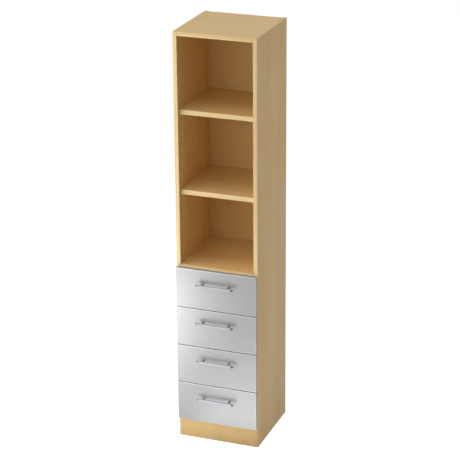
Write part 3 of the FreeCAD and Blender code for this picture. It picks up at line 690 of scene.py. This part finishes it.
class CABINET_OT_cross_panels(bpy.types.Operator):
    """Maple finish of the top, middle and bottom panels and the loose shelves"""

    bl_idname = "cabinet.cross_panels"
    bl_label = "Cross panels and shelves"

    def execute(self, context):
        boards = context.scene.cabinet_boards
        for seed, name in enumerate(("top_panel", "middle_panel", "bottom_panel"), 4):
            finish_maple_board(name, Z, X, ((Y, LOW),), boards, float(seed), joined=True)
        round_bands = ((Y, LOW), (Y, HIGH), (X, LOW), (X, HIGH))
        for seed, name in enumerate(("upper_shelf", "lower_shelf"), 7):
            finish_maple_board(name, Z, X, round_bands, boards, float(seed))
        return {"FINISHED"}


class CABINET_OT_back_panel(bpy.types.Operator):
    """Finish of the back panel"""

    bl_idname = "cabinet.back_panel"
    bl_label = "Back panel"

    def execute(self, context):
        finish_back_board("back_panel", context.scene.cabinet_boards, 9.0)
        return {"FINISHED"}


class CABINET_OT_drawer_fronts(bpy.types.Operator):
    """Silver-grey finish of the drawer fronts"""

    bl_idname = "cabinet.drawer_fronts"
    bl_label = "Drawer fronts"

    def execute(self, context):
        for number in DRAWERS:
            finish_silver_front("drawer_%d_front" % number, context.scene.cabinet_boards, 10.0 + number)
        return {"FINISHED"}


class CABINET_OT_drawer_boxes(bpy.types.Operator):
    """Finish of the drawer sides, backs and bottoms"""

    bl_idname = "cabinet.drawer_boxes"
    bl_label = "Drawer boxes"

    def execute(self, context):
        boards = context.scene.cabinet_boards
        for number in DRAWERS:
            name = "drawer_%d_" % number
            top_band = ((Z, HIGH),)
            walls = (("left_side", X, Y, 20.0), ("right_side", X, Y, 25.0), ("back", Y, X, 30.0))
            for wall, across, along, seed in walls:
                finish_maple_board(name + wall, across, along, top_band, boards, seed + number,
                                   BOX_PRINT, BOX_ROUGHNESS)
            finish_drawer_bottom(name + "bottom", boards, 35.0 + number)
        return {"FINISHED"}


class CABINET_OT_handles(bpy.types.Operator):
    """Brushed bars and turned posts of the handles"""

    bl_idname = "cabinet.handles"
    bl_label = "Handles"

    def execute(self, context):
        metals = context.scene.cabinet_metals
        for number in DRAWERS:
            finish_bar("drawer_%d_handle_bar" % number, metals, 40.0 + number)
            finish_posts("drawer_%d_handle_posts" % number, metals, 45.0 + number)
        return {"FINISHED"}


class CABINET_OT_runners(bpy.types.Operator):
    """Powder-coated rails and nylon rollers"""

    bl_idname = "cabinet.runners"
    bl_label = "Runners"

    def execute(self, context):
        metals = context.scene.cabinet_metals
        finish_rails("cabinet_rails", metals, 50.0, True)
        for number in DRAWERS:
            finish_rails("drawer_%d_drawer_rails" % number, metals, 51.0 + number, False)
            finish_rollers("drawer_%d_front_rollers" % number, metals, 56.0 + number)
            finish_rollers("drawer_%d_rear_rollers" % number, metals, 61.0 + number)
        return {"FINISHED"}


class CABINET_OT_fittings(bpy.types.Operator):
    """Screws, bolts, cams, dowels and shelf pins"""

    bl_idname = "cabinet.fittings"
    bl_label = "Fittings"

    def execute(self, context):
        metals = context.scene.cabinet_metals
        finish_fixings("cam_bolts", metals.nickel, metals, 70.0, (X,))
        finish_fixings("shelf_pins", metals.nickel, metals, 71.0, (X,), 0.0004, 0.24)
        finish_fixings("back_panel_screws", metals.zinc, metals, 72.0, (Y,))
        finish_fixings("cabinet_rail_screws", metals.zinc, metals, 73.0, (X,))
        for number in DRAWERS:
            finish_fixings("drawer_%d_screws" % number, metals.zinc, metals, 74.0 + number, (Y, Z))
        finish_cast("cam_housings", metals, 80.0)
        finish_dowels("dowels", metals, 81.0)
        return {"FINISHED"}


def sight_axes(azimuth, elevation, roll):
    """The camera's right, up and back directions."""
    back = Vector((math.sin(azimuth) * math.cos(elevation), -math.cos(azimuth) * math.cos(elevation),
                   math.sin(elevation)))
    right = Vector((math.cos(azimuth), math.sin(azimuth), 0.0))
    up = back.cross(right)
    turned_right = math.cos(roll) * right + math.sin(roll) * up
    turned_up = math.cos(roll) * up - math.sin(roll) * right
    return turned_right, turned_up, back


def add_camera(studio):
    data = bpy.data.cameras.new("cabinet_camera")
    data.sensor_width = SENSOR_WIDTH
    data.lens = studio.lens
    data.clip_start = 0.1
    data.clip_end = 100.0
    camera = bpy.data.objects.new("cabinet_camera", data)
    bpy.context.scene.collection.objects.link(camera)
    right, up, back = sight_axes(studio.azimuth, studio.elevation, studio.roll)
    place = Matrix((right, up, back)).transposed().to_4x4()
    place.translation = Vector(studio.target) + back * studio.distance
    camera.matrix_world = place
    bpy.context.scene.camera = camera


def add_lamp(name, place, aim, size, power, lean):
    """Soft rectangular lamp that faces the point aimed at, leaning to the right by so many degrees."""
    data = bpy.data.lights.new(name, "AREA")
    data.shape = "RECTANGLE"
    data.size, data.size_y = size
    data.energy = power
    lamp = bpy.data.objects.new(name, data)
    bpy.context.scene.collection.objects.link(lamp)
    lamp.location = place
    lamp.rotation_mode = "QUATERNION"
    turn = Quaternion((0.0, 1.0, 0.0), math.radians(lean))
    lamp.rotation_quaternion = turn @ (Vector(aim) - Vector(place)).to_track_quat("-Z", "Y")
    lamp.visible_camera = False


def seen_directly(nodes):
    """1 where the camera sees the surface, also in a mirror or through glass."""
    path = nodes.add("ShaderNodeLightPath")
    seen = Value(nodes, path.outputs["Is Camera Ray"])
    for name in ("Is Glossy Ray", "Is Transmission Ray"):
        seen = nodes.most(seen, Value(nodes, path.outputs[name]))
    return seen


def add_floor(studio):
    mesh = bpy.data.meshes.new("floor")
    shape = bmesh.new()
    bmesh.ops.create_grid(shape, x_segments=1, y_segments=1, size=studio.floor_size / 2)
    shape.to_mesh(mesh)
    shape.free()
    floor = bpy.data.objects.new("floor", mesh)
    floor.location = (0.0, 0.0, -FLOOR_DROP)
    bpy.context.scene.collection.objects.link(floor)
    material = bpy.data.materials.new("floor_finish")
    material.use_nodes = True
    nodes = Nodes(material.node_tree)
    matt = nodes.add("ShaderNodeBsdfDiffuse", None, {"Color": studio.floor, "Roughness": 0.0})
    glow = nodes.add("ShaderNodeEmission", None, {"Color": (1.0, 1.0, 1.0), "Strength": studio.floor_glow})
    lifted = nodes.add("ShaderNodeAddShader", None, {0: matt.outputs[0], 1: glow.outputs[0]})
    sockets = {0: seen_directly(nodes), 1: matt.outputs[0], 2: lifted.outputs[0]}
    mixed = nodes.add("ShaderNodeMixShader", None, sockets)
    nodes.add("ShaderNodeOutputMaterial", None, {"Surface": mixed.outputs[0]})
    mesh.materials.append(material)


def set_world(studio):
    world = bpy.data.worlds.new("studio_world")
    world.use_nodes = True
    bpy.context.scene.world = world
    nodes = Nodes(world.node_tree)
    white = (1.0, 1.0, 1.0)
    ambient = nodes.add("ShaderNodeBackground", None, {"Color": white, "Strength": studio.ambient})
    shown = nodes.add("ShaderNodeBackground", None, {"Color": white, "Strength": 1.0})
    sockets = {0: seen_directly(nodes), 1: ambient.outputs[0], 2: shown.outputs[0]}
    mixed = nodes.add("ShaderNodeMixShader", None, sockets)
    nodes.add("ShaderNodeOutputWorld", None, {"Surface": mixed.outputs[0]})


class CABINET_OT_stage(bpy.types.Operator):
    """Floor, lamps, background and camera"""

    bl_idname = "cabinet.stage"
    bl_label = "Stage"

    def execute(self, context):
        studio = context.scene.cabinet_studio
        add_camera(studio)
        add_floor(studio)
        set_world(studio)
        for name, (place, aim, size, lean) in LAMPS.items():
            add_lamp(name + "_lamp", place, aim, size, getattr(studio, name + "_power"), lean)
        context.scene.view_settings.view_transform = "Standard"
        return {"FINISHED"}


class CABINET_PT_panel(bpy.types.Panel):
    """Lists the cabinet's steps and settings"""

    bl_idname = "CABINET_PT_panel"
    bl_label = "Cabinet"
    bl_space_type = "VIEW_3D"
    bl_region_type = "UI"
    bl_category = "Cabinet"

    def draw(self, context):
        for operator in OPERATORS:
            self.layout.operator(operator.bl_idname)
        for key, group in GROUPS.items():
            column = self.layout.column()
            for setting in group.__annotations__:
                column.prop(getattr(context.scene, key), setting)


GROUPS = {
    "cabinet_boards": CabinetBoards,
    "cabinet_metals": CabinetMetals,
    "cabinet_studio": CabinetStudio,
}
OPERATORS = (
    CABINET_OT_side_panels,
    CABINET_OT_cross_panels,
    CABINET_OT_back_panel,
    CABINET_OT_drawer_fronts,
    CABINET_OT_drawer_boxes,
    CABINET_OT_handles,
    CABINET_OT_runners,
    CABINET_OT_fittings,
    CABINET_OT_stage,
)


def register():
    for group in GROUPS.values():
        bpy.utils.register_class(group)
    for operator in OPERATORS:
        bpy.utils.register_class(operator)
    bpy.utils.register_class(CABINET_PT_panel)
    for key, group in GROUPS.items():
        setattr(bpy.types.Scene, key, PointerProperty(type=group))


def unregister():
    for key in GROUPS:
        delattr(bpy.types.Scene, key)
    bpy.utils.unregister_class(CABINET_PT_panel)
    for operator in reversed(OPERATORS):
        bpy.utils.unregister_class(operator)
    for group in GROUPS.values():
        bpy.utils.unregister_class(group)


def main():
    register()
    for operator in OPERATORS:
        section, step = operator.bl_idname.split(".")
        getattr(getattr(bpy.ops, section), step)()


if __name__ == "__main__":
    main()
